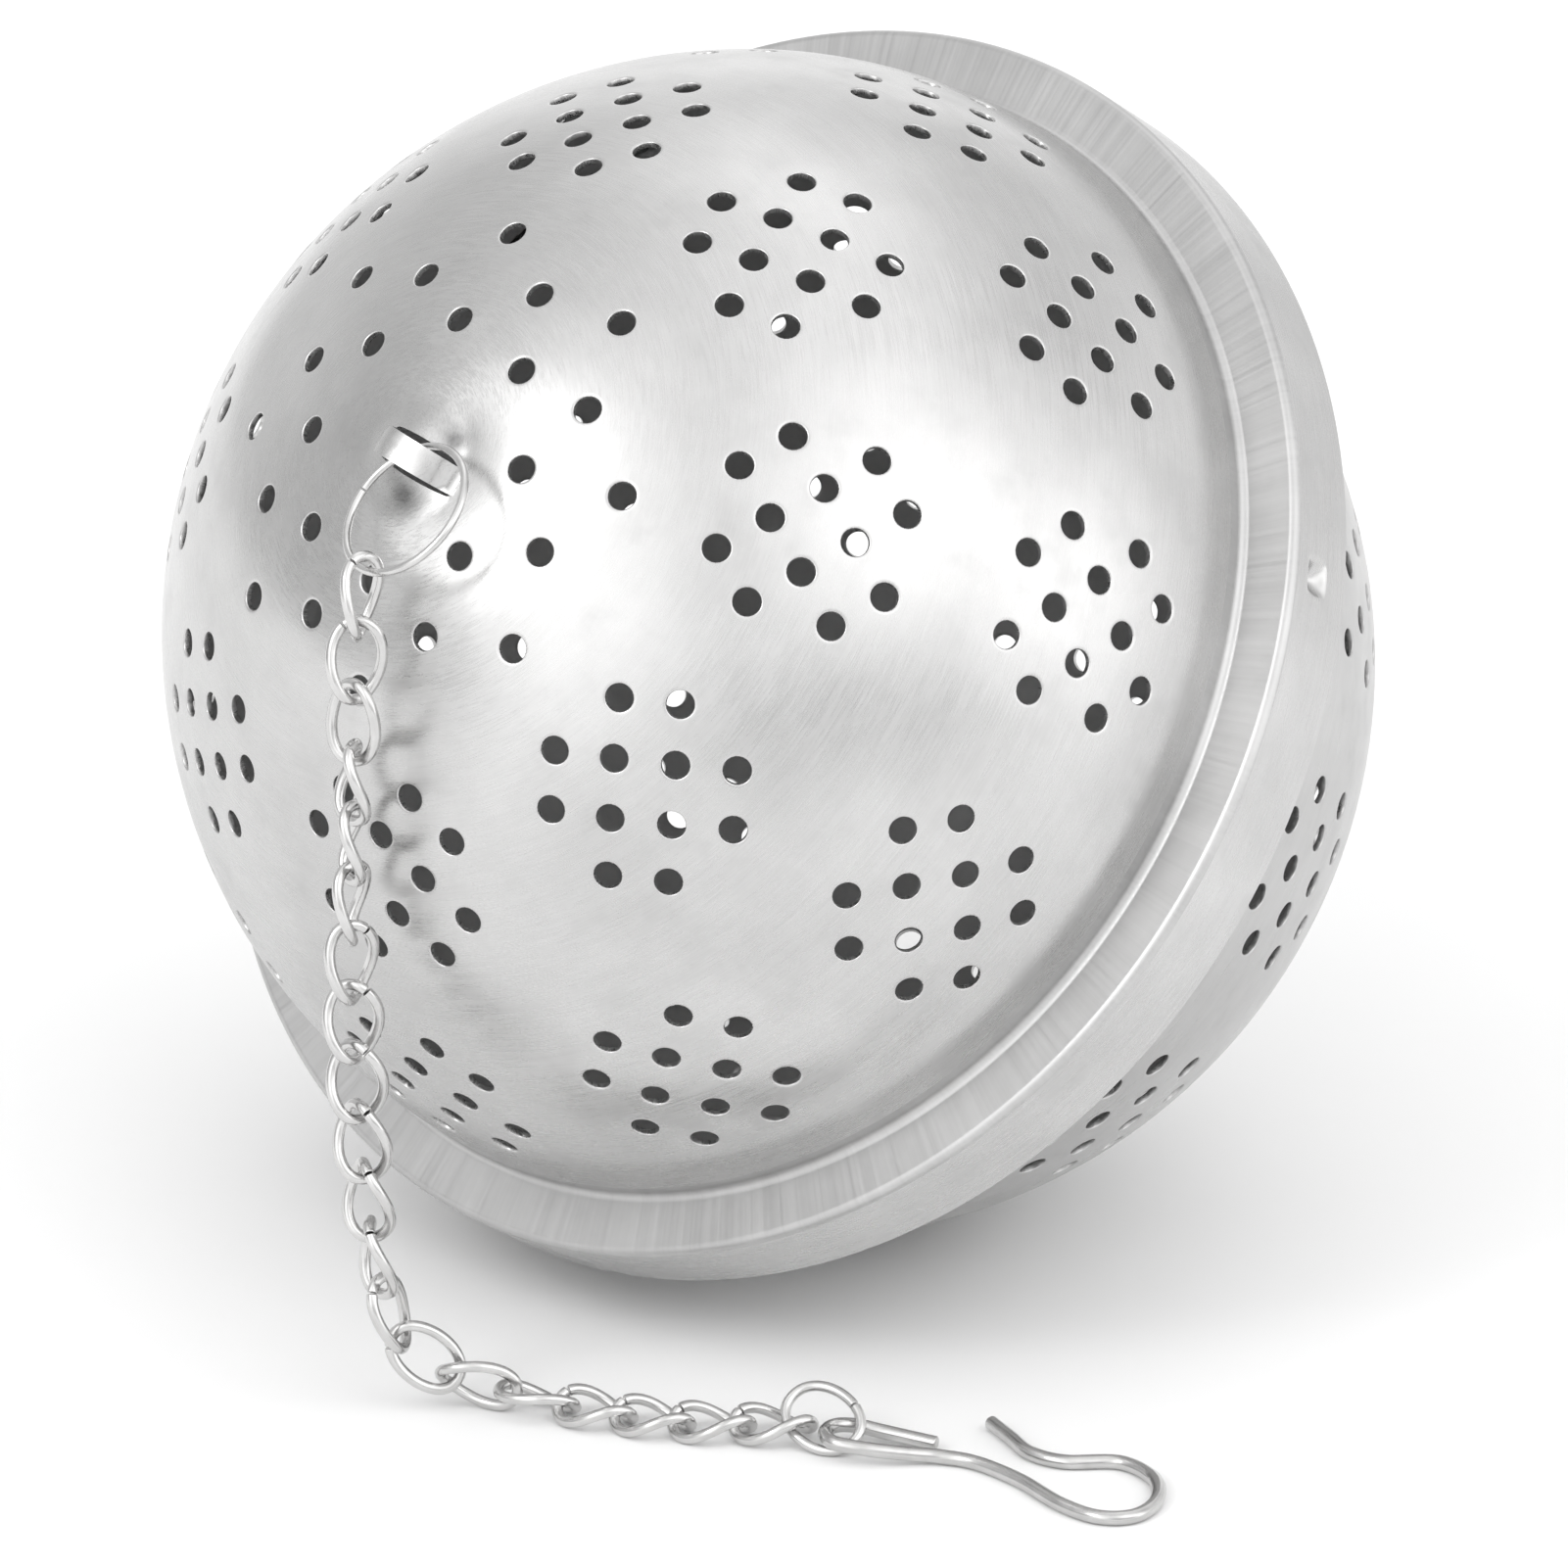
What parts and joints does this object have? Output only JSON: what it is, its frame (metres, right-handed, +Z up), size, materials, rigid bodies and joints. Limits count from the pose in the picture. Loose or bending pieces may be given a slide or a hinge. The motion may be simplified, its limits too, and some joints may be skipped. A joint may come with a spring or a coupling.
{
  "type": "tea infuser",
  "caption": "Pierced steel mesh ball in two halves with a rolled rim, a jump ring, a twisted-link chain and a wire hook, for steeping loose tea.",
  "frame": {"origin": "on the table, under the middle of the bounding box", "axes": "+Z up; the ball rests on its base dome with the lid pole leaning towards -Y and up; +X along the lying end of the chain"},
  "size_m": [0.0984, 0.0898, 0.0834],
  "materials": {
    "lid_steel": "drawn stainless sheet with a satin polish",
    "base_steel": "drawn stainless sheet with a satin polish",
    "ring_steel": "bright drawn wire",
    "chain_steel": "bright drawn wire",
    "hook_steel": "bright drawn wire"
  },
  "bodies": {
    "base": {"base_half": "base_steel"},
    "lid": {"lid_half": "lid_steel"},
    "jump_ring": {"jump_ring": "ring_steel"},
    "chain_link_01": {"chain_link_01": "chain_steel"},
    "chain_link_02": {"chain_link_02": "chain_steel"},
    "chain_link_03": {"chain_link_03": "chain_steel"},
    "chain_link_04": {"chain_link_04": "chain_steel"},
    "chain_link_05": {"chain_link_05": "chain_steel"},
    "chain_link_06": {"chain_link_06": "chain_steel"},
    "chain_link_07": {"chain_link_07": "chain_steel"},
    "chain_link_08": {"chain_link_08": "chain_steel"},
    "chain_link_09": {"chain_link_09": "chain_steel"},
    "chain_link_10": {"chain_link_10": "chain_steel"},
    "chain_link_11": {"chain_link_11": "chain_steel"},
    "chain_link_12": {"chain_link_12": "chain_steel"},
    "chain_link_13": {"chain_link_13": "chain_steel"},
    "chain_link_14": {"chain_link_14": "chain_steel"},
    "chain_link_15": {"chain_link_15": "chain_steel"},
    "chain_link_16": {"chain_link_16": "chain_steel"},
    "chain_link_17": {"chain_link_17": "chain_steel"},
    "chain_link_18": {"chain_link_18": "chain_steel"},
    "chain_link_19": {"chain_link_19": "chain_steel"},
    "chain_link_20": {"chain_link_20": "chain_steel"},
    "end_link": {"end_link": "chain_steel"},
    "hook": {"hook": "hook_steel"}
  },
  "joints": [
    {"name": "lid_slide", "type": "slide", "parent": "base", "child": "lid", "axis": [0, -0.8289, 0.5594], "range_m": [0, 0.06]},
    {"name": "ring_swing", "type": "hinge", "parent": "lid", "child": "jump_ring", "pos_m": [-0.00311, -0.03469, 0.06605], "axis": [-0.8542, -0.2706, -0.4441], "range_deg": [0, 75]},
    {"name": "link_01_swing", "type": "hinge", "parent": "jump_ring", "child": "chain_link_01", "pos_m": [-0.00123, -0.04134, 0.06035], "axis": [-0.0106, -0.9827, 0.1852], "range_deg": [0, 20]},
    {"name": "link_02_swing", "type": "hinge", "parent": "chain_link_01", "child": "chain_link_02", "pos_m": [-0.00099, -0.04213, 0.05615], "axis": [-0.0044, -0.9906, 0.1364], "range_deg": [0, 20]},
    {"name": "link_03_swing", "type": "hinge", "parent": "chain_link_02", "child": "chain_link_03", "pos_m": [-0.00085, -0.04272, 0.05191], "axis": [0.0007, -0.9995, 0.0327], "range_deg": [0, 20]},
    {"name": "link_04_swing", "type": "hinge", "parent": "chain_link_03", "child": "chain_link_04", "pos_m": [-0.00094, -0.04285, 0.04764], "axis": [-0.0003, -1, -0.0075], "range_deg": [0, 20]},
    {"name": "link_05_swing", "type": "hinge", "parent": "chain_link_04", "child": "chain_link_05", "pos_m": [-0.00111, -0.04282, 0.04336], "axis": [-0.0001, -1, -0.003], "range_deg": [0, 20]},
    {"name": "link_06_swing", "type": "hinge", "parent": "chain_link_05", "child": "chain_link_06", "pos_m": [-0.00125, -0.04281, 0.03908], "axis": [-0.0002, -1, -0.0072], "range_deg": [0, 20]},
    {"name": "link_07_swing", "type": "hinge", "parent": "chain_link_06", "child": "chain_link_07", "pos_m": [-0.0014, -0.04278, 0.03481], "axis": [-0.0002, -0.9999, -0.0128], "range_deg": [0, 20]},
    {"name": "link_08_swing", "type": "hinge", "parent": "chain_link_07", "child": "chain_link_08", "pos_m": [-0.00145, -0.04272, 0.03053], "axis": [0.0005, -0.9999, -0.016], "range_deg": [0, 20]},
    {"name": "link_09_swing", "type": "hinge", "parent": "chain_link_08", "child": "chain_link_09", "pos_m": [-0.00133, -0.04266, 0.02625], "axis": [0.0011, -0.9998, -0.0207], "range_deg": [0, 20]},
    {"name": "link_10_swing", "type": "hinge", "parent": "chain_link_09", "child": "chain_link_10", "pos_m": [-0.00109, -0.04257, 0.02198], "axis": [0.0024, -0.9992, -0.0396], "range_deg": [0, 20]},
    {"name": "link_11_swing", "type": "hinge", "parent": "chain_link_10", "child": "chain_link_11", "pos_m": [-0.00084, -0.0424, 0.01771], "axis": [0.0031, -0.9979, -0.0652], "range_deg": [0, 20]},
    {"name": "link_12_swing", "type": "hinge", "parent": "chain_link_11", "child": "chain_link_12", "pos_m": [-0.00063, -0.04212, 0.01344], "axis": [0.0097, -0.9913, -0.1311], "range_deg": [0, 20]},
    {"name": "link_13_swing", "type": "hinge", "parent": "chain_link_12", "child": "chain_link_13", "pos_m": [-0.00032, -0.04156, 0.00921], "axis": [0.0483, -0.9501, -0.3083], "range_deg": [0, 20]},
    {"name": "link_14_swing", "type": "hinge", "parent": "chain_link_13", "child": "chain_link_14", "pos_m": [0.00031, -0.04022, 0.00519], "axis": [0.3301, -0.8746, -0.355], "range_deg": [0, 20]},
    {"name": "link_15_swing", "type": "hinge", "parent": "chain_link_14", "child": "chain_link_15", "pos_m": [0.00276, -0.03823, 0.00257], "axis": [0.5256, -0.8403, -0.1325], "range_deg": [0, 20]},
    {"name": "link_16_swing", "type": "hinge", "parent": "chain_link_15", "child": "chain_link_16", "pos_m": [0.0061, -0.03601, 0.00172], "axis": [0.4771, -0.8751, -0.081], "range_deg": [0, 20]},
    {"name": "link_17_swing", "type": "hinge", "parent": "chain_link_16", "child": "chain_link_17", "pos_m": [0.00963, -0.03403, 0.00112], "axis": [0.3642, -0.9313, -0.0074], "range_deg": [0, 20]},
    {"name": "link_18_swing", "type": "hinge", "parent": "chain_link_17", "child": "chain_link_18", "pos_m": [0.01345, -0.03253, 0.00104], "axis": [0.4116, -0.9114, 0.0016], "range_deg": [0, 20]},
    {"name": "link_19_swing", "type": "hinge", "parent": "chain_link_18", "child": "chain_link_19", "pos_m": [0.01719, -0.03085, 0.00106], "axis": [0.5712, -0.8207, 0.0131], "range_deg": [0, 20]},
    {"name": "link_20_swing", "type": "hinge", "parent": "chain_link_19", "child": "chain_link_20", "pos_m": [0.02055, -0.0285, 0.00114], "axis": [0.6204, -0.784, 0.0208], "range_deg": [0, 20]},
    {"name": "end_link_swing", "type": "hinge", "parent": "chain_link_20", "child": "end_link", "pos_m": [0.02376, -0.02596, 0.00125], "axis": [0.6204, -0.784, 0.0208], "range_deg": [0, 30]},
    {"name": "hook_swing", "type": "hinge", "parent": "end_link", "child": "hook", "pos_m": [0.02728, -0.02535, 0.00107], "axis": [-0.1588, -0.8349, -0.527], "range_deg": [0, 22]}
  ]
}
